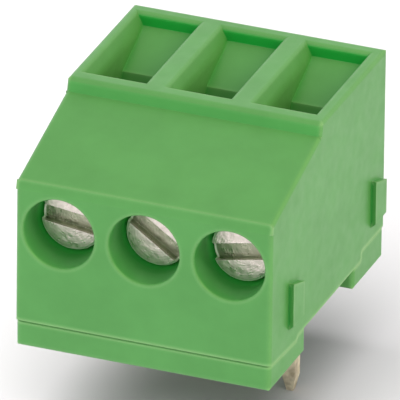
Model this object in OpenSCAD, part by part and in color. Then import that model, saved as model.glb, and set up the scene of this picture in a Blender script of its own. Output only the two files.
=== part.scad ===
// Three-pole printed-circuit-board screw terminal with rising cage clamps.
// The wire enters from above, the screw is turned from the front.
// Millimetres, +Z up, +X to the right and the screws facing -Y. The origin is
// the middle of the row of solder pins, on the surface of the board.
// Inside the modules y is counted from the housing's front face.

/* [Poles] */
// Distance between neighbouring poles
pitch = 5.08; // [5:0.01:5.4]
// Height of the screws' axes above the board
axis_z = 7.35; // [7.15:0.05:7.55]

/* [Housing] */
// Depth from the front face to the back
depth = 17.9; // [17.8:0.1:20]
// Height of the flat top above the board
height = 13.2; // [13.1:0.1:14.5]
// Height of the vertical front face's upper edge
front_h = 10.3; // [10.15:0.05:10.7]
// Height of the narrow bevel under that edge
front_bevel_h = 0.58; // [0.2:0.02:0.7]
// How far that bevel leans back
front_bevel_d = 0.15; // [0.05:0.01:0.3]
// Distance of the top rim from the front face
rim_y = 7.6; // [7.4:0.05:7.8]
// Height of the steep band that carries the rim above the sloping roof
rim_band_h = 0.78; // [0.4:0.02:1]
// How far that band leans back
rim_band_lean = 0.2; // [0.1:0.01:0.4]
// Radius of the long edges on both sides
side_edge_r = 0.24; // [0.05:0.01:0.26]
// Radius of the upright edges at the back
rear_corner_r = 0.42; // [0.1:0.02:0.5]
// Radius of the rim and of the rear top edge
rim_edge_r = 0.38; // [0.1:0.01:0.4]
// Thickness of the lower wall round the base cover
skirt_t = 0.62; // [0.5:0.02:0.8]
// Height of the side walls' lower edge between the feet
skirt_z = 1.6; // [1.55:0.05:1.65]
// Height of the seam at the front corner
seam_front_z = 1.6; // [1.55:0.05:1.7]
// How far the seam falls along the side, down to its step
seam_fall = 0.25; // [0.1:0.05:0.4]
// Height of the seam behind the rear step
seam_rear_z = 2.2; // [2:0.05:2.4]

/* [Wire funnels] */
// Width of a funnel between its upper edges
funnel_w = 3.64; // [3.5:0.02:3.8]
// Sideways place of a funnel from its screw's axis
funnel_shift = -0.09; // [-0.15:0.01:0.1]
// Width of the rim in front of the funnels
rim_w = 0.9; // [0.7:0.05:1.1]
// Thickness of the wall behind the funnels
rear_wall_t = 1.05; // [0.9:0.05:1.2]
// How far each side of a funnel flares out
flare_w = 0.33; // [0.2:0.01:0.4]
// Height of that flare
flare_h = 0.83; // [0.6:0.01:1]
// Radius where the flare turns into the upright wall
flare_r = 1.2; // [0.3:0.1:1.5]
// Depth of the funnel floor at the rear wall
floor_drop = 0.8; // [0.6:0.05:1]
// Depth of the lip where the floor ends, below the top
lip_drop = 2.18; // [2:0.02:2.4]
// Distance of that lip from the back
lip_from_back = 4.3; // [4.2:0.05:4.5]
// Radius of the upper edges of a funnel
crease_r = 0.28; // [0.05:0.01:0.32]

/* [Screw bores] */
// Diameter of the screwdriver access bore
bore_d = 4.2; // [4.1:0.02:4.4]
// Radius of the lip round the mouth of the bore
bore_lip_r = 0.16; // [0.05:0.01:0.18]
// Diameter of the narrower guide round the screw head
guide_d = 3.9; // [3.86:0.02:4]
// Length of the cone between access bore and guide
guide_cone_l = 1; // [0.6:0.1:1.2]
// Depth of the screw head below the front face
head_recess = 2; // [1.8:0.05:2.1]
// Thickness of the wall between head and clamp chamber
seat_t = 0.95; // [0.6:0.05:1]

/* [Screws] */
// Diameter of the head
head_d = 3.7; // [3.4:0.05:3.8]
// Height of the head
head_h = 1.8; // [1.5:0.05:1.85]
// Bevel round the face of the head
head_bevel = 0.14; // [0.05:0.01:0.3]
// Width of the screwdriver slot
slot_w = 1; // [0.6:0.05:1.1]
// Depth of the screwdriver slot
slot_depth = 0.5; // [0.4:0.05:1.2]
// Outside diameter of the thread
thread_d = 3; // [2.9:0.02:3.04]
// Height of the cone at the screw's tip
tip_bevel = 0.35; // [0.1:0.05:0.5]
// Angle of the first screw's slot, as seen from the front
slot_angle_1 = -7.5; // [-90:0.5:90]
// Angle of the second screw's slot
slot_angle_2 = -35; // [-90:0.5:90]
// Angle of the third screw's slot
slot_angle_3 = 11; // [-90:0.5:90]

/* [Clamp cages] */
// Outside width of a cage
cage_w = 3.9; // [3.8:0.02:3.94]
// Height of a cage
cage_h = 4; // [3.8:0.05:4.1]
// Thickness of the threaded front wall
cage_nut_t = 1.8; // [1.5:0.05:1.85]
// Thickness of the side walls
cage_side_t = 0.45; // [0.3:0.05:0.5]
// Thickness of the clamping rear wall
cage_rear_t = 0.7; // [0.5:0.05:0.8]
// Length of the wire window along the screw
cage_window = 4; // [3.9:0.05:4.05]
// Radius of the cage's upright outer corners
cage_corner_r = 0.4; // [0.1:0.05:0.5]
// Depth of the grooves that grip the wire
grip_depth = 0.12; // [0.05:0.01:0.2]
// Way of a cage from open to fully closed
cage_travel = 2.5; // [2:0.05:2.55]

/* [Contacts] */
// Width of the contact bar
bar_w = 2.8; // [2.4:0.05:2.85]
// Thickness of the contact bar and of the solder pin
bar_t = 0.8; // [0.6:0.02:0.9]
// Distance of the solder pins from the front face
pin_y = 10; // [9.95:0.01:10.1]
// Width of a solder pin
pin_w = 0.75; // [0.5:0.05:1]
// Length of a solder pin below the board's surface
pin_l = 5; // [3:0.1:6]
// Length of the tapered end of a solder pin
pin_taper = 0.9; // [0.5:0.1:2]
// Height of the bar's upper end
bar_top_z = 10.35; // [10.15:0.05:10.4]

/* [Base cover] */
// Thickness of the cover's plate
plate_t = 1; // [0.8:0.05:1.1]
// Depth of the front foot
front_foot_d = 5.5; // [5:0.1:6]
// Distance of the rear foot from the front face
rear_foot_y = 13; // [12.6:0.1:13.6]
// Height of the rear foot above the board
rear_foot_z = 0.25; // [0.2:0.05:0.6]
// How far the cover's back lies in front of the housing's back
back_step = 0.2; // [0.1:0.05:0.4]
// How far the feet lie inside the housing's outline
foot_inset = 0.03; // [0:0.01:0.15]
// Distance of the step in the side seam from the front face
seam_step_y = 4.2; // [4:0.1:4.6]
// Start of the raised rear part of the cover
rear_step_y = 14.2; // [13.8:0.1:14.6]
// Radius of the lower edges of the feet
foot_edge_r = 0.25; // [0.05:0.01:0.3]
// Bevel of the front foot's upper front edge, at the seam
seam_bevel = 0.08; // [0.04:0.01:0.15]
// Radius of the upright corners of the feet
foot_corner_r = 0.3; // [0.1:0.05:0.5]

/* [Joining ribs] */
// How far the joining ribs stand out of the right side
rib_proud = 0.32; // [0.2:0.01:0.35]
// Width of a rib at its outer face
rib_w = 1.7; // [1.5:0.05:1.75]
// How far a rib's flanks are undercut
rib_undercut = 0.1; // [0.05:0.01:0.15]
// Start of the front rib behind the front face
rib_front_y = 2.65; // [2.5:0.05:3]
// Distance of the rear rib from the back
rib_from_back = 0.7; // [0.5:0.05:0.8]
// Lower end of the front rib
rib_front_z = 2.6; // [2.4:0.05:2.8]
// Lower end of the rear rib
rib_rear_z = 3; // [2.9:0.05:3.2]
// Length of a rib
rib_l = 2.95; // [2.4:0.05:3.2]

/* [Clearances] */
// Gap between the base cover and the housing
cover_gap = 0.05; // [0.03:0.01:0.08]
// Gap between a cage and its chamber on each side
cage_gap = 0.1; // [0.06:0.01:0.12]
// Gap between cage and chamber walls at both ends of its way
cage_end_gap = 0.1; // [0.05:0.01:0.2]
// Gap round a screw's thread in the cage and in the seat wall
thread_gap = 0.05; // [0.03:0.01:0.08]
// Gap between a screw head and its seat
seat_gap = 0.05; // [0.03:0.01:0.1]
// Gap between a screw's tip and the contact bar
tip_gap = 0.03; // [0.02:0.01:0.06]
// Gap round the contact bar in its slot
bar_gap = 0.05; // [0.03:0.01:0.08]
// Gap round a solder pin in the base cover
pin_gap = 0.1; // [0.05:0.01:0.15]
// Gap of a joining rib in the groove of the next block
rib_gap = 0.05; // [0.03:0.01:0.1]

/* [Hidden] */
$fn = 96;
cut = 1;          // how far a cutter reaches past a surface
eps = 0.01;       // overlap of shapes that belong together
arc_steps = 5;    // straight pieces in a small rounding
edge_facets = 48; // straight pieces round a full turn of a side edge
rib_slant = 18;   // fall of a rib's upper end, in degrees
rib_foot_angle = 45;  // of the bevel under a rib, in degrees
grip_count = 4;   // wire grooves in a cage
bar_corner = 0.125;   // share of a contact bar's width cut off at its corners
pin_tip = 0.5;    // share of a solder pin's section left at its tip
cage_head_room = 0.2; // above a cage in its chamber

pole_count = 3;
width = pole_count * pitch;
poles = [-1, 0, 1];

chamber_w = cage_w + 2 * cage_gap;
chamber_z = axis_z + cage_h / 2 + cage_head_room;
plate_top = skirt_z + cover_gap + plate_t;
plate_y = skirt_t + cover_gap;
plate_end_y = depth - back_step - skirt_t - cover_gap;
shelf_z = plate_top + cover_gap;

bar_y = pin_y - bar_t / 2;
bar_back_y = pin_y + bar_t / 2;
throat_y = bar_back_y + bar_gap;
rib_rear_y = depth - rib_from_back - rib_w;
lip_y = depth - lip_from_back;
lip_z = height - lip_drop;
flare_rise = [crease_r + flare_w, flare_h - crease_r];
crease_from = atan2(flare_rise[1], flare_rise[0]) + asin(crease_r / norm(flare_rise)) + 90;
flare_low = flare_h + flare_r * tan((180 - crease_from) / 2);

cone_y = head_recess - seat_gap;
seat_y = head_recess + head_h + seat_gap;
chamber_y = seat_y + seat_t;
cage_y = chamber_y + cage_end_gap + cage_travel;
cage_l = cage_nut_t + cage_window + cage_rear_t;
chamber_end_y = cage_y + cage_l + cage_end_gap;
throat_end_y = cage_y + cage_nut_t + cage_window - cage_end_gap;

housing_green = [0.33, 0.62, 0.33];
cover_green = [0.36, 0.64, 0.35];
zinc = [0.76, 0.76, 0.70];
nickel = [0.66, 0.66, 0.62];
tin = [0.62, 0.58, 0.48];

// Moves a shape from front-face coordinates to the part's own origin.
module on_board() {
    translate([0, -pin_y, 0]) children();
}

// Extrudes a [y, z] outline across x, centred on the middle plane.
module across(w) {
    rotate([90, 0, 90])
        linear_extrude(w, center = true) children();
}

// Extrudes an [x, z] outline along y, from the given start.
module along(y, l) {
    translate([0, y + l, 0])
        rotate([90, 0, 0])
            linear_extrude(l) children();
}

// A bar lying along y, given by its diameter.
module rod(y, l, d) {
    translate([0, y, 0])
        rotate([-90, 0, 0])
            cylinder(h = l, d = d);
}

// Points of a rounding of radius r about a centre, between two angles.
function arc(c, r, from, to) =
    [for (i = [0:arc_steps])
        let (a = from + (to - from) * i / arc_steps)
            c + r * [cos(a), sin(a)]];

/* ---- housing ---- */

// Corners of the outline that carry the long side edges, front seam to rear seam.
side_run = [
    [0, seam_front_z],
    [0, front_h - front_bevel_h],
    [front_bevel_d, front_h],
    [rim_y - rim_band_lean, height - rim_band_h],
    [rim_y, height],
    [depth, height],
    [depth, seam_rear_z]];
side_run_r = [side_edge_r, side_edge_r, side_edge_r, side_edge_r, side_edge_r, rear_corner_r];

// Side view of the housing's outside.
module housing_outline() {
    rim_lean = atan2(rim_band_h, rim_band_lean);
    rim_centre = [rim_y + rim_edge_r * tan(rim_lean / 2), height - rim_edge_r];
    polygon(concat(
        [[0, seam_front_z],
         [0, front_h - front_bevel_h],
         [front_bevel_d, front_h],
         [rim_y - rim_band_lean, height - rim_band_h]],
        arc(rim_centre, rim_edge_r, rim_lean + 90, 90),
        arc([depth - rim_edge_r, height - rim_edge_r], rim_edge_r, 90, 0),
        [[depth, seam_rear_z + side_edge_r],
         [depth - back_step, seam_rear_z],
         [rear_step_y - cover_gap, seam_rear_z],
         [rear_step_y - cover_gap, skirt_z],
         [seam_step_y - cover_gap, skirt_z],
         [seam_step_y - cover_gap, seam_front_z - seam_fall]]));
}

// Cuts the sharp edge off both sides, along one straight run of the outline.
module side_edge_cutter(from, to, r) {
    run = to - from;
    translate([0, from[0], from[1]])
        rotate([atan2(run[1], run[0]), 0, 0])
            for (side = [0, 1])
                mirror([side, 0, 0])
                    along(-eps, norm(run) + 2 * eps)
                        translate([width / 2 - r, -r])
                            difference() {
                                square(r + cut);
                                circle(r, $fn = edge_facets);
                            }
}

// One wire funnel and its throat, down into the clamp chamber.
module funnel() {
    half = funnel_w / 2;
    intersection() {
        along(rim_y, depth)
            translate([funnel_shift, 0])
                for (side = [0, 1])
                    mirror([side, 0])
                        polygon(concat(
                            [[-eps, chamber_z - eps],
                             [half - flare_w, chamber_z - eps]],
                            arc([half - flare_w + flare_r, height - flare_low],
                                flare_r, 180, crease_from),
                            arc([half + crease_r, height - crease_r], crease_r, crease_from, 90),
                            [[half + crease_r, height + cut],
                             [-eps, height + cut]]));
        across(width)
            polygon(concat(
                [[rim_y + rim_w, height + cut],
                 [rim_y + rim_w, height],
                 [throat_y, bar_top_z + bar_gap + flare_w],
                 [throat_y, chamber_z - eps],
                 [throat_end_y, chamber_z - eps],
                 [lip_y, lip_z],
                 [depth - rear_wall_t, height - floor_drop]],
                arc([depth - rear_wall_t + crease_r, height - crease_r], crease_r, 180, 90),
                [[depth - rear_wall_t + crease_r, height + cut]]));
    }
}

// Half section of the space that the rounded lip of a bore leaves free.
module bore_lip_section() {
    polygon(concat(
        [[0, -cut], [bore_d / 2 + bore_lip_r, -cut]],
        arc([bore_d / 2 + bore_lip_r, bore_lip_r], bore_lip_r, 270, 180),
        [[0, bore_lip_r]]));
}

// Access bore, head guide and screw passage of one pole.
module screw_bore() {
    translate([0, 0, axis_z]) {
        rod(-cut, cone_y + cut, bore_d);
        rod(-cut, seat_y + cut, guide_d);
        translate([0, cone_y, 0])
            rotate([-90, 0, 0])
                cylinder(h = guide_cone_l, d1 = bore_d, d2 = guide_d);
        rotate([-90, 0, 0])
            rotate_extrude() bore_lip_section();
        rod(seat_y - cut, seat_t + 2 * cut, thread_d + 2 * thread_gap);
    }
}

// Room in which the cage runs, open towards the base cover.
module clamp_chamber() {
    translate([-chamber_w / 2, chamber_y, skirt_z])
        cube([chamber_w, chamber_end_y - chamber_y, chamber_z - skirt_z]);
    translate([-bar_w / 2 - bar_gap, bar_y - bar_gap, chamber_z - eps])
        cube([bar_w + 2 * bar_gap, bar_t + 2 * bar_gap, bar_top_z + bar_gap - chamber_z + eps]);
}

// Room for the base cover's plate inside the lower walls.
module cover_recess() {
    translate([-width / 2 + skirt_t, skirt_t, 0])
        cube([width - 2 * skirt_t, depth - back_step - 2 * skirt_t, shelf_z]);
}

// Plan of a joining rib on the plane x = 0, wider outside than at its root.
module rib_plan(gap) {
    polygon([[-eps, rib_undercut - gap],
             [rib_proud + gap, -gap],
             [rib_proud + gap, rib_w + gap],
             [-eps, rib_w - rib_undercut + gap]]);
}

// Joining rib with a slanting upper end, at the given place on the right side.
module rib(y, z) {
    difference() {
        translate([width / 2, y, z])
            linear_extrude(rib_l) rib_plan(0);
        translate([width / 2 - cut, y, z + rib_l])
            rotate([-rib_slant, 0, 0])
                translate([0, -cut, 0])
                    cube([2 * cut, rib_w + 2 * cut, 2 * cut]);
        translate([width / 2, y - cut, z])
            rotate([0, -rib_foot_angle, 0])
                translate([0, 0, -2 * cut])
                    cube([2 * cut, rib_w + 2 * cut, 2 * cut]);
    }
}

// Groove in the left side that takes the rib of the next block.
module rib_groove(y, z) {
    translate([-width / 2, y, -cut])
        linear_extrude(z + rib_l + cut + rib_gap)
            rib_plan(rib_gap);
    translate([-width / 2 - eps, y + rib_undercut - rib_gap, -cut])
        cube([2 * eps, rib_w - 2 * rib_undercut + 2 * rib_gap, z + rib_l + cut + rib_gap]);
}

module housing() {
    color(housing_green)
        on_board() {
            difference() {
                across(width) housing_outline();
                for (i = [0:len(side_run) - 2])
                    side_edge_cutter(side_run[i], side_run[i + 1], side_run_r[i]);
                for (pole = poles)
                    translate([pole * pitch, 0, 0]) {
                        screw_bore();
                        clamp_chamber();
                        funnel();
                    }
                cover_recess();
                rib_groove(rib_front_y, rib_front_z);
                rib_groove(rib_rear_y, rib_rear_z);
            }
            rib(rib_front_y, rib_front_z);
            rib(rib_rear_y, rib_rear_z);
        }
}

/* ---- base cover ---- */

// Side view of the front foot, up to the seam or at most to top_z.
module front_foot_outline(top_z) {
    polygon(concat(
        arc([foot_inset + foot_edge_r, foot_edge_r], foot_edge_r, 180, 270),
        arc([front_foot_d - foot_edge_r, foot_edge_r], foot_edge_r, 270, 360),
        [[front_foot_d, top_z],
         [seam_step_y, top_z],
         [seam_step_y, min(top_z, seam_front_z - seam_fall - cover_gap)],
         [foot_inset + seam_bevel, min(top_z, seam_front_z - cover_gap)],
         [foot_inset, seam_front_z - cover_gap - seam_bevel]]));
}

// Side view of the rear foot with its raised rear part.
module rear_foot_outline(top_z) {
    back = depth - back_step;
    low = rear_foot_z + foot_edge_r;
    polygon(concat(
        arc([rear_foot_y + foot_edge_r, low], foot_edge_r, 180, 270),
        arc([back - foot_edge_r, low], foot_edge_r, 270, 360),
        [[back, top_z],
         [rear_step_y, top_z],
         [rear_step_y, skirt_z - cover_gap],
         [rear_foot_y, skirt_z - cover_gap]]));
}

// Side view of the plate inside the lower walls, thicker over the front foot.
module plate_outline() {
    low = skirt_z - cover_gap - eps;
    foot_low = seam_front_z - seam_fall - cover_gap - eps;
    polygon([[plate_y, foot_low],
             [front_foot_d, foot_low],
             [front_foot_d, low],
             [plate_end_y, low],
             [plate_end_y, plate_top],
             [plate_y, plate_top]]);
}

// Room that a foot may fill: rounded below, and at its upright corners.
module foot_room(front, back, low_z) {
    half = width / 2 - foot_inset;
    intersection() {
        along(front, back - front)
            polygon(concat(
                arc([half - foot_edge_r, low_z + foot_edge_r], foot_edge_r, 270, 360),
                [[half, height], [-half, height]],
                arc([foot_edge_r - half, low_z + foot_edge_r], foot_edge_r, 180, 270)));
        linear_extrude(height)
            polygon(concat(
                arc([foot_corner_r - half, front + foot_corner_r], foot_corner_r, 180, 270),
                arc([half - foot_corner_r, front + foot_corner_r], foot_corner_r, 270, 360),
                arc([half - foot_corner_r, back - foot_corner_r], foot_corner_r, 0, 90),
                arc([foot_corner_r - half, back - foot_corner_r], foot_corner_r, 90, 180)));
    }
}

module base_cover() {
    color(cover_green)
        on_board()
            difference() {
                union() {
                    intersection() {
                        across(width) front_foot_outline(skirt_z - cover_gap);
                        foot_room(foot_inset, front_foot_d, 0);
                    }
                    intersection() {
                        across(width) rear_foot_outline(seam_rear_z - cover_gap);
                        foot_room(rear_foot_y, depth - back_step, rear_foot_z);
                    }
                    across(width - 2 * plate_y) plate_outline();
                }
                for (pole = poles)
                    translate([pole * pitch - pin_w / 2 - pin_gap, bar_y - pin_gap, -cut])
                        cube([pin_w + 2 * pin_gap, bar_t + 2 * pin_gap, height]);
                rib_groove(rib_front_y, rib_front_z);
                rib_groove(rib_rear_y, rib_rear_z);
            }
}

/* ---- screws ---- */

// Half section of a screw, x is the radius and y the way from its face.
module screw_section() {
    reach = bar_y - tip_gap - head_recess;
    polygon([[0, 0],
             [head_d / 2 - head_bevel, 0],
             [head_d / 2, head_bevel],
             [head_d / 2, head_h],
             [thread_d / 2, head_h],
             [thread_d / 2, reach - tip_bevel],
             [thread_d / 2 - tip_bevel, reach],
             [0, reach]]);
}

module screw(pole, slot_angle) {
    color(zinc)
        on_board()
            translate([pole * pitch, head_recess, axis_z])
                rotate([0, -slot_angle, 0])
                    difference() {
                        rotate([-90, 0, 0])
                            rotate_extrude() screw_section();
                        translate([-head_d / 2 - cut, -cut, -slot_w / 2])
                            cube([head_d + 2 * cut, slot_depth + cut, slot_w]);
                    }
}

module screw_1() { screw(poles[0], slot_angle_1); }
module screw_2() { screw(poles[1], slot_angle_2); }
module screw_3() { screw(poles[2], slot_angle_3); }

/* ---- clamp cages ---- */

// Plan of the closed sleeve, y counted from its front.
module cage_plan() {
    in = [cage_w / 2 - cage_corner_r, cage_l - cage_corner_r];
    difference() {
        polygon(concat(
            arc([-in[0], cage_corner_r], cage_corner_r, 180, 270),
            arc([in[0], cage_corner_r], cage_corner_r, 270, 360),
            arc(in, cage_corner_r, 0, 90),
            arc([-in[0], in[1]], cage_corner_r, 90, 180)));
        translate([-cage_w / 2 + cage_side_t, cage_nut_t])
            square([cage_w - 2 * cage_side_t, cage_window]);
    }
}

module clamp_cage(pole) {
    grip_step = cage_h / (grip_count + 1);
    color(nickel)
        on_board()
            translate([pole * pitch, cage_y, axis_z])
                difference() {
                    translate([0, 0, -cage_h / 2])
                        linear_extrude(cage_h) cage_plan();
                    rod(-cut, cage_nut_t + 2 * cut, thread_d + 2 * thread_gap);
                    for (i = [1:grip_count])
                        translate([0, cage_nut_t + cage_window, i * grip_step - cage_h / 2])
                            rotate([45, 0, 0])
                                cube([cage_w - 2 * cage_side_t,
                                      grip_depth * sqrt(2), grip_depth * sqrt(2)], center = true);
                }
}

module clamp_cage_1() { clamp_cage(poles[0]); }
module clamp_cage_2() { clamp_cage(poles[1]); }
module clamp_cage_3() { clamp_cage(poles[2]); }

/* ---- contacts ---- */

// Front view of a contact: the bar above, the tapered solder pin below.
module contact_front() {
    corner = bar_corner * bar_w;
    tip = pin_tip * pin_w / 2;
    polygon([[-bar_w / 2, plate_top],
             [-bar_w / 2, bar_top_z - corner],
             [-bar_w / 2 + corner, bar_top_z],
             [bar_w / 2 - corner, bar_top_z],
             [bar_w / 2, bar_top_z - corner],
             [bar_w / 2, plate_top],
             [pin_w / 2, plate_top],
             [pin_w / 2, pin_taper - pin_l],
             [tip, -pin_l],
             [-tip, -pin_l],
             [-pin_w / 2, pin_taper - pin_l],
             [-pin_w / 2, plate_top]]);
}

// Side view of a contact, the sheet's thickness with its pointed end.
module contact_side() {
    tip = pin_tip * bar_t / 2;
    polygon([[-bar_t / 2, bar_top_z],
             [bar_t / 2, bar_top_z],
             [bar_t / 2, pin_taper - pin_l],
             [tip, -pin_l],
             [-tip, -pin_l],
             [-bar_t / 2, pin_taper - pin_l]]);
}

module contact(pole) {
    color(tin)
        on_board()
            translate([pole * pitch, pin_y, 0])
                intersection() {
                    along(-bar_t, 2 * bar_t) contact_front();
                    across(2 * bar_w) contact_side();
                }
}

module contact_1() { contact(poles[0]); }
module contact_2() { contact(poles[1]); }
module contact_3() { contact(poles[2]); }

housing();
base_cover();
screw_1();
screw_2();
screw_3();
clamp_cage_1();
clamp_cage_2();
clamp_cage_3();
contact_1();
contact_2();
contact_3();
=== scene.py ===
"""Looks of the three-pole screw terminal: finish of every surface, floor, light and camera."""

import math

import bpy
from mathutils import Matrix, Vector


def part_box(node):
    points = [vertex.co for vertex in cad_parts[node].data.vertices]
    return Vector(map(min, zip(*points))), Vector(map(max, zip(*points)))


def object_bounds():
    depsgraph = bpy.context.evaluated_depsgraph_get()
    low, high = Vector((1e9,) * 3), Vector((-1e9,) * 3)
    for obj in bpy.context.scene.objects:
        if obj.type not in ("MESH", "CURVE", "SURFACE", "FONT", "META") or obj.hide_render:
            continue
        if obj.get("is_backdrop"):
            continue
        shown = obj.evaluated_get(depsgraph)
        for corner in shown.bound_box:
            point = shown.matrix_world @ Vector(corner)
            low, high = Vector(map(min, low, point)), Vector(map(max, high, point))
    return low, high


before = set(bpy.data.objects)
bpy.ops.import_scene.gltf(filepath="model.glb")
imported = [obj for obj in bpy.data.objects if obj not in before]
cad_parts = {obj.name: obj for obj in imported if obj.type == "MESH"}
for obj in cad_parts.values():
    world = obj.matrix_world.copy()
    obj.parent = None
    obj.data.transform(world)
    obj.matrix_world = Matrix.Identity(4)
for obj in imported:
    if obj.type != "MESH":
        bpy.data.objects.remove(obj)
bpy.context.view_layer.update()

MM = 0.001

# ---------------------------------------------------------------- camera

AZIMUTH = 21.0           # degrees round the block, 0 looks at the screws
ELEVATION = 26.6         # degrees above the horizon
ROLL = 0.70              # degrees, the picture leans a little
LENS = 1500.0            # millimetres: the view is all but parallel
SENSOR = 36.0            # millimetres
VIEW_WIDTH = 22.335      # millimetres of the scene across the picture
AIM = Vector((-0.010, -1.328, 6.488)) * MM
NEAR_CLIP, FAR_CLIP = 0.01, 20.0   # metres


def direction(azimuth, elevation):
    """From the block towards a place round it, both angles in degrees."""
    a, e = math.radians(azimuth), math.radians(elevation)
    return Vector((math.sin(a) * math.cos(e), -math.cos(a) * math.cos(e), math.sin(e)))


def make_camera():
    """The photograph's view, seen from far off with a long lens."""
    back = direction(AZIMUTH, ELEVATION)
    a, r = math.radians(AZIMUTH), math.radians(ROLL)
    level_right = Vector((math.cos(a), math.sin(a), 0.0))
    level_up = back.cross(level_right)
    right = level_right * math.cos(r) + level_up * math.sin(r)
    up = level_up * math.cos(r) - level_right * math.sin(r)
    distance = LENS / SENSOR * VIEW_WIDTH * MM

    data = bpy.data.cameras.new("camera")
    data.lens = LENS
    data.sensor_width = SENSOR
    data.clip_start = NEAR_CLIP
    data.clip_end = FAR_CLIP
    camera = bpy.data.objects.new("camera", data)
    bpy.context.scene.collection.objects.link(camera)
    turned = Matrix((right, up, back)).transposed().to_4x4()
    camera.matrix_world = Matrix.Translation(AIM + back * distance) @ turned
    bpy.context.scene.camera = camera


# ---------------------------------------------------------------- floor and light

FLOOR_TONE = (0.31, 0.305, 0.31)
FLOOR_HALF = 3.0         # metres from the middle to each side
FLOOR_ROUGH = 0.9
FLOOR_GLOSS = 0.1
WORLD_STRENGTH = 1.50    # of the surround, level with the block
ZENITH_SHARE = 0.56      # of that light straight above
RIGHT_SHARE = 0.46       # of that light straight to the right

# azimuth, elevation, distance, width (degrees, degrees, metres, metres), watts, colour
FLOOR_LAMP = (-15, 68, 0.30, 0.50, 5.0, (1.0, 0.99, 0.98))
BLOCK_LAMP = (82, 42, 0.30, 0.25, 0.62, (1.0, 0.80, 0.45))


def make_floor():
    """A pale sheet under the pins' tips."""
    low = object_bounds()[0].z
    half = FLOOR_HALF
    mesh = bpy.data.meshes.new("floor")
    corners = [(-half, -half, low), (half, -half, low), (half, half, low), (-half, half, low)]
    mesh.from_pydata(corners, [], [(0, 1, 2, 3)])
    floor = bpy.data.objects.new("floor", mesh)
    bpy.context.scene.collection.objects.link(floor)
    material = bpy.data.materials.new("floor_paper")
    material.use_nodes = True
    shader = material.node_tree.nodes["Principled BSDF"]
    shader.inputs["Base Color"].default_value = (*FLOOR_TONE, 1.0)
    shader.inputs["Roughness"].default_value = FLOOR_ROUGH
    shader.inputs["Specular IOR Level"].default_value = FLOOR_GLOSS
    mesh.materials.append(material)
    floor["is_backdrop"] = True
    return floor


def make_lamp(name, azimuth, elevation, distance, size, power, colour):
    """A round soft lamp aimed at the block, placed as the camera is."""
    back = direction(azimuth, elevation)
    data = bpy.data.lights.new(name, "AREA")
    data.shape = "DISK"
    data.size = size
    data.energy = power
    data.color = colour
    lamp = bpy.data.objects.new(name, data)
    lamp.location = AIM + back * distance
    lamp.rotation_mode = "QUATERNION"
    lamp.rotation_quaternion = back.to_track_quat("Z", "Y")
    bpy.context.scene.collection.objects.link(lamp)
    return lamp


def light_only(lamp, things):
    """Makes a lamp light the given objects and nothing else."""
    lit = bpy.data.collections.new(f"lit_by_{lamp.name}")
    for thing in things:
        lit.objects.link(thing)
    lamp.light_linking.receiver_collection = lit


def make_world():
    """A white surround, dimmer overhead and towards the right, where the block's lamp stands."""
    world = bpy.data.worlds.new("studio")
    world.use_nodes = True
    tree = world.node_tree
    background = tree.nodes["Background"]
    background.inputs["Color"].default_value = (1.0, 1.0, 1.0, 1.0)
    looking = tree.nodes.new("ShaderNodeTexCoord").outputs["Generated"]
    split = tree.nodes.new("ShaderNodeSeparateXYZ")
    tree.links.new(looking, split.inputs["Vector"])
    strength = WORLD_STRENGTH
    # each ramp runs from full light at start to its share of it at end, along one axis
    for axis, start, end, left in (("Z", 0.1, 1.0, ZENITH_SHARE), ("X", -0.1, 1.0, RIGHT_SHARE)):
        ramp = tree.nodes.new("ShaderNodeMapRange")
        ramp.inputs["From Min"].default_value = start
        ramp.inputs["From Max"].default_value = end
        ramp.inputs["To Min"].default_value = 1.0
        ramp.inputs["To Max"].default_value = left
        tree.links.new(split.outputs[axis], ramp.inputs["Value"])
        scaled = tree.nodes.new("ShaderNodeMath")
        scaled.operation = "MULTIPLY"
        tree.links.new(ramp.outputs["Result"], scaled.inputs[0])
        if isinstance(strength, float):
            scaled.inputs[1].default_value = strength
        else:
            tree.links.new(strength, scaled.inputs[1])
        strength = scaled.outputs[0]
    tree.links.new(strength, background.inputs["Strength"])
    bpy.context.scene.world = world


def make_studio(floor):
    """Surround light, a lamp for the floor alone, and one from the right for the block."""
    make_world()
    overhead = make_lamp("overhead", *FLOOR_LAMP)
    right = make_lamp("right_soft", *BLOCK_LAMP)
    light_only(overhead, [floor])
    light_only(right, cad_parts.values())
    bpy.context.scene.view_settings.view_transform = "Standard"


# ---------------------------------------------------------------- material helpers

MIX_COLOURS = slice(6, 8)  # the two colour inputs of a Mix node, and below its colour output
MIX_RESULT = 2
BLUR = 0.1 * MM          # soft edge of a mask by place


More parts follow.
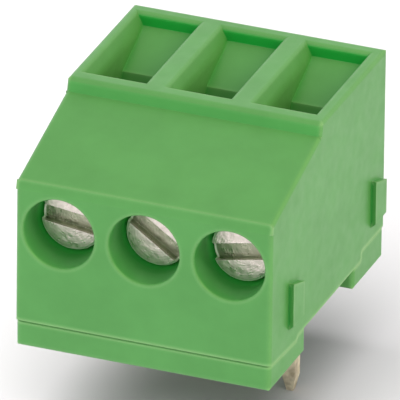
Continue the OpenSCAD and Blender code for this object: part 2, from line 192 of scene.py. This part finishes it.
class Nodes:
    """A material's node tree with short calls for adding and joining nodes."""

    def __init__(self, name):
        self.material = bpy.data.materials.new(name)
        self.material.use_nodes = True
        self.tree = self.material.node_tree
        self.shader = self.tree.nodes["Principled BSDF"]
        self.place = self.add("ShaderNodeTexCoord").outputs["Object"]

    def add(self, kind, **settings):
        node = self.tree.nodes.new(kind)
        for key, value in settings.items():
            setattr(node, key, value)
        return node

    def join(self, source, target):
        self.tree.links.new(source, target)

    def scaled(self, scale):
        """Object coordinates times a scale for each axis."""
        node = self.add("ShaderNodeMapping")
        node.inputs["Scale"].default_value = scale
        self.join(self.place, node.inputs["Vector"])
        return node.outputs["Vector"]

    def noise(self, per_mm, detail=3.0, roughness=0.5, stretch=(1, 1, 1)):
        """Cloudy noise from 0 to 1, with about so many blots to the millimetre."""
        node = self.add("ShaderNodeTexNoise")
        node.inputs["Scale"].default_value = 1.0
        node.inputs["Detail"].default_value = detail
        node.inputs["Roughness"].default_value = roughness
        self.join(self.scaled([per_mm / MM * s for s in stretch]), node.inputs["Vector"])
        return node.outputs["Fac"]

    def cells(self, per_mm):
        """Distance to the nearest of scattered points, in cell widths."""
        node = self.add("ShaderNodeTexVoronoi")
        node.inputs["Scale"].default_value = 1.0
        self.join(self.scaled([per_mm / MM] * 3), node.inputs["Vector"])
        return node.outputs["Distance"]

    def remap(self, value, low, high, to_low, to_high):
        """A value from low to high turned into one from to_low to to_high, held there outside."""
        node = self.add("ShaderNodeMapRange")
        node.inputs["From Min"].default_value = low
        node.inputs["From Max"].default_value = high
        node.inputs["To Min"].default_value = to_low
        node.inputs["To Max"].default_value = to_high
        self.join(value, node.inputs["Value"])
        return node.outputs["Result"]

    def mix(self, factor, first, second):
        """The first colour where the factor is 0, the second where it is 1."""
        node = self.add("ShaderNodeMix", data_type="RGBA")
        self.join(factor, node.inputs["Factor"])
        for socket, colour in zip(node.inputs[MIX_COLOURS], (first, second)):
            if isinstance(colour, tuple):
                socket.default_value = (*colour, 1.0)
            else:
                self.join(colour, socket)
        return node.outputs[MIX_RESULT]

    def math(self, operation, first, second):
        node = self.add("ShaderNodeMath", operation=operation)
        for socket, value in zip(node.inputs, (first, second)):
            if isinstance(value, (int, float)):
                socket.default_value = value
            else:
                self.join(value, socket)
        return node.outputs[0]

    def bump(self, height, depth_mm, normal):
        """Normals with a height laid over them, so deep at a height of 1."""
        node = self.add("ShaderNodeBump")
        node.inputs["Distance"].default_value = depth_mm * MM
        self.join(height, node.inputs["Height"])
        self.join(normal, node.inputs["Normal"])
        return node.outputs["Normal"]

    def rounded(self, radius_mm):
        """Normals with every sharp edge rounded to a small radius."""
        node = self.add("ShaderNodeBevel", samples=6)
        node.inputs["Radius"].default_value = radius_mm * MM
        return node.outputs["Normal"]

    def occlusion(self, reach_mm, inside):
        """1 where nothing of the piece is near, less where it closes in."""
        node = self.add("ShaderNodeAmbientOcclusion", samples=8, inside=inside, only_local=True)
        node.inputs["Distance"].default_value = reach_mm * MM
        return node.outputs["AO"]

    def edges(self, reach_mm):
        """Mask for the painted edge highlight: 1 on outer edges, sharp or rounded, 0 on the
        faces.
        """
        return self.remap(self.occlusion(reach_mm, True), 0.95, 0.62, 0.0, 1.0)

    def hollows(self, reach_mm):
        """Mask for the painted corner shade: 1 in closed corners and bores, 0 on open faces."""
        return self.remap(self.occlusion(reach_mm, False), 0.7, 0.2, 0.0, 1.0)

    def steep_tops(self):
        """Mask for the painted steep shade: 1 on the walls behind the funnels, a share of it on
        the band under the rim.
        """
        low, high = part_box("housing")
        looks = self.add("ShaderNodeSeparateXYZ")
        self.join(self.add("ShaderNodeNewGeometry").outputs["Normal"], looks.inputs["Vector"])
        steep = self.remap(looks.outputs["Y"], -0.85, -0.95, 0.0, 1.0)
        upper = self.remap(self.stands("Z"), high.z - BAND_H, high.z - BAND_FULL, 0.0, 1.0)
        funnels_y = (low.y + high.y) / 2 + BAND_TO_FUNNELS
        share = self.remap(self.stands("Y"), funnels_y, funnels_y + FADE, BAND_SHARE, 1.0)
        return self.math("MULTIPLY", self.math("MULTIPLY", steep, upper), share)

    def stands(self, axis):
        """The place along one axis, in metres."""
        split = self.add("ShaderNodeSeparateXYZ")
        self.join(self.place, split.inputs["Vector"])
        return split.outputs[axis]

    def between(self, axis, low, high):
        """1 where the place along an axis lies between two values, 0 outside."""
        over = self.remap(self.stands(axis), low - BLUR, low, 0.0, 1.0)
        under = self.remap(self.stands(axis), high, high + BLUR, 1.0, 0.0)
        return self.math("MULTIPLY", over, under)

    def screw_radius(self):
        """Distance from the nearest screw's axis; the axes run along Y, side by side."""
        centre = (SCREWS[0][0] + SCREWS[0][1]) / 2
        half = (SCREWS[1][0].x - SCREWS[0][0].x) / 2
        across = self.math("WRAP", self.math("SUBTRACT", self.stands("X"), centre.x), half)
        across.node.inputs[2].default_value = -half
        flat = self.add("ShaderNodeCombineXYZ")
        self.join(across, flat.inputs["X"])
        self.join(self.math("SUBTRACT", self.stands("Z"), centre.z), flat.inputs["Z"])
        radius = self.add("ShaderNodeVectorMath", operation="LENGTH")
        self.join(flat.outputs["Vector"], radius.inputs[0])
        return radius.outputs["Value"]

    def rings(self, per_mm):
        """Fine rings round every screw axis."""
        turn = self.math("MULTIPLY", self.screw_radius(), per_mm / MM * math.tau)
        return self.math("SINE", turn, 0.0)


# ---------------------------------------------------------------- materials

GREEN = (0.078, 0.265, 0.070)
CORNER_SHADE = (0.16, 1.12, 0.55)  # red, green and blue of the painted shade with green bounce light deep in a corner, as shares of GREEN
STEEP_SHADE = (0.10, 1.30, 0.60)   # red, green and blue of the painted shade on the walls behind the funnels, as shares of GREEN
BORE_SHADE = (0.50, 1.55, 0.85)    # red, green and blue of the painted shade and green bounce light inside a screw bore, as shares of GREEN
# colour of the painted highlight along edges
EDGE_HIGHLIGHT_GREEN = (0.26, 0.47, 0.20)
GLOSS_TINT = (0.45, 1.0, 0.4)
GLOSS = 0.8
POLYAMIDE_IOR = 1.53
HOLLOW_REACH = 1.2       # millimetres that the corner shade reaches out of a corner
EDGE_REACH = 0.26        # millimetres that an edge's painted highlight reaches
EDGE_R = 0.08            # millimetres, rounding of the shading at a sharp edge
EDGE_HIGHLIGHT_SHARE = 0.65         # how much of the painted edge highlight colour an edge gets
RIB_EDGE_HIGHLIGHT_SHARE = 0.2      # how much of it the joining ribs' edges get
BORE_HOLLOWS = 0.4       # how much of the corner shade a screw bore gets
BAND_SHARE = 0.3         # how much of the steep shade the band under the rim gets
BAND_H = 0.95 * MM       # from the housing's top down to where the steep shade starts
BAND_FULL = 0.8 * MM     # and to where it is full
BAND_TO_FUNNELS = 2.0 * MM  # from the housing's middle back to the funnels' part of the shade
FADE = 1.0 * MM          # way over which the band's share turns into the funnels'
SCREWS = [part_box(f"screw_{pole}") for pole in (1, 2, 3)]
BORE_REACH = 2.15 * MM   # from the axis, just over half the bore
BORE_PAST_HEAD = 2.0 * MM  # how far the bore's shade goes on behind a screw's face
PLASTIC_GRAIN = 0.002    # millimetres deep


def shaded(colour, shares):
    """A colour with each of its three parts times a share."""
    return tuple(c * share for c, share in zip(colour, shares))


def moulded_plastic(name, tone):
    """Glass-filled polyamide: satin, milky, with painted shade and green bounce light in its
    corners, bores and behind the funnels, and a painted highlight on its edges.
    """
    n = Nodes(name)
    deep = tuple(c * 0.95 for c in tone)
    light = tuple(c * 1.05 + 0.002 for c in tone)
    body = n.mix(n.remap(n.noise(0.35, 4.0, 0.55), 0.35, 0.65, 0.0, 1.0), deep, light)
    # painted shade and green bounce light inside the screw bores
    near = n.remap(n.screw_radius(), BORE_REACH, BORE_REACH - BLUR, 0.0, 1.0)
    face_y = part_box("housing")[0].y
    along = n.between("Y", face_y, SCREWS[0][0].y + BORE_PAST_HEAD)
    bore = n.math("MULTIPLY", near, along)
    body = n.mix(bore, body, shaded(tone, BORE_SHADE))
    # painted shade on the walls behind the funnels and, weaker, on the band under the rim
    body = n.mix(n.steep_tops(), body, shaded(tone, STEEP_SHADE))
    # painted shade with green bounce light in closed corners, weaker inside the screw bores
    open_share = n.remap(bore, 0.0, 1.0, 1.0, BORE_HOLLOWS)
    hollows = n.math("MULTIPLY", n.hollows(HOLLOW_REACH), open_share)
    body = n.mix(hollows, body, shaded(tone, CORNER_SHADE))
    # painted highlight along the edges, weaker on the joining ribs that stand out of the side
    side_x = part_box("base_cover")[1].x + BLUR
    pale = n.remap(n.stands("X"), side_x, side_x + BLUR, EDGE_HIGHLIGHT_SHARE, RIB_EDGE_HIGHLIGHT_SHARE)
    body = n.mix(n.math("MULTIPLY", n.edges(EDGE_REACH), pale), body, EDGE_HIGHLIGHT_GREEN)
    n.join(body, n.shader.inputs["Base Color"])
    n.join(n.remap(n.noise(1.2, 3.0), 0.3, 0.7, 0.38, 0.48), n.shader.inputs["Roughness"])
    n.shader.inputs["IOR"].default_value = POLYAMIDE_IOR
    n.shader.inputs["Specular IOR Level"].default_value = GLOSS
    n.shader.inputs["Specular Tint"].default_value = (*GLOSS_TINT, 1.0)
    grain = n.noise(14.0, 2.0, 0.6)
    n.join(n.bump(grain, PLASTIC_GRAIN, n.rounded(EDGE_R)), n.shader.inputs["Normal"])
    return n.material


RIM_W = 0.16 * MM        # width of the painted highlight at the edge of a screw head, which is also rough and less metallic
RIM_FULL = 0.6           # of that width, from the outside in, gets the highlight, roughness and metal share in full
RIM_HIGHLIGHT_TONE = (0.90, 0.90, 0.78)
RIM_METALLIC = 0.4
RIM_ROUGH = 0.6
FACE_DARK, FACE_LIGHT = (0.60, 0.54, 0.49), (0.78, 0.71, 0.65)
# colour of the painted shade in a screw's slot
SLOT_SHADE = (0.36, 0.37, 0.27)
SLOT_FROM, SLOT_TO = 0.25 * MM, 0.75 * MM  # behind the face
# heights of the bumps, in millimetres
FACE_DOME = 0.015        # fall of a screw's face, a millimetre from its middle
RING_DEPTH = 0.0010
DENT_DEPTH = 0.014
PIT_DEPTH = 0.022
GRAIN_DEPTH = 0.012      # of sheet metal
METAL_EDGE_R = 0.05      # rounding of the shading at a metal edge


def plated_screw():
    """Zinc-plated steel: pale, dented in handling, with turning marks, painted shade in the slot
    and a painted highlight round the head's rim.
    """
    n = Nodes("screw_zinc")
    spots = n.noise(2.5, 5.0, 0.65)
    face = n.mix(n.remap(spots, 0.35, 0.7, 0.0, 1.0), FACE_DARK, FACE_LIGHT)
    face_y = SCREWS[0][0].y
    # painted shade in the slot, which lies behind the screw's face
    slot = n.between("Y", face_y + SLOT_FROM, face_y + SLOT_TO)
    face = n.mix(slot, face, SLOT_SHADE)
    head_r = (SCREWS[0][1].x - SCREWS[0][0].x) / 2
    # painted highlight round the head's rim, also rougher and less metallic there
    rim = n.remap(n.screw_radius(), head_r - RIM_W, head_r - RIM_W * RIM_FULL, 0.0, 1.0)
    n.join(n.mix(rim, face, RIM_HIGHLIGHT_TONE), n.shader.inputs["Base Color"])
    n.join(n.remap(rim, 0.0, 1.0, 1.0, RIM_METALLIC), n.shader.inputs["Metallic"])
    worn = n.remap(n.noise(3.0, 4.0), 0.3, 0.7, 0.24, 0.40)
    dull = n.math("MULTIPLY", rim, RIM_ROUGH)
    n.join(n.math("MAXIMUM", worn, dull), n.shader.inputs["Roughness"])
    radius = n.math("MULTIPLY", n.screw_radius(), 1 / MM)
    dome = n.bump(n.math("MULTIPLY", radius, radius), -FACE_DOME, n.rounded(METAL_EDGE_R))
    rings = n.bump(n.rings(6.5), RING_DEPTH, dome)
    dents = n.bump(n.remap(n.cells(2.0), 0.0, 0.5, 0.0, 1.0), DENT_DEPTH, rings)
    n.join(n.bump(n.noise(5.0, 4.0, 0.7), PIT_DEPTH, dents), n.shader.inputs["Normal"])
    return n.material


def plated_metal(name, dark, light, rough_low, rough_high, metallic=1.0):
    """Stamped and plated sheet metal, with a faint rolling grain."""
    n = Nodes(name)
    n.join(n.mix(n.remap(n.noise(1.5, 4.0), 0.35, 0.65, 0.0, 1.0), dark, light),
           n.shader.inputs["Base Color"])
    n.shader.inputs["Metallic"].default_value = metallic
    rough = n.remap(n.noise(2.0, 3.0), 0.3, 0.7, rough_low, rough_high)
    n.join(rough, n.shader.inputs["Roughness"])
    grain = n.noise(4.0, 3.0, 0.6, (4, 4, 0.6))
    n.join(n.bump(grain, GRAIN_DEPTH, n.rounded(METAL_EDGE_R)), n.shader.inputs["Normal"])
    return n.material


def dress(node, material):
    """Gives every material slot of a CAD node the same finish."""
    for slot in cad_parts[node].material_slots:
        slot.material = material


def dress_all():
    housing = moulded_plastic("housing_green", GREEN)
    cover = moulded_plastic("cover_green", GREEN)
    screw = plated_screw()
    cage = plated_metal("cage_nickel", (0.45, 0.45, 0.42), (0.62, 0.62, 0.58), 0.25, 0.4)
    contact = plated_metal("contact_tin", (0.46, 0.38, 0.26), (0.90, 0.81, 0.62), 0.35, 0.5, 0.7)
    dress("housing", housing)
    dress("base_cover", cover)
    for pole in (1, 2, 3):
        dress(f"screw_{pole}", screw)
        dress(f"clamp_cage_{pole}", cage)
        dress(f"contact_{pole}", contact)


make_camera()
make_studio(make_floor())
dress_all()
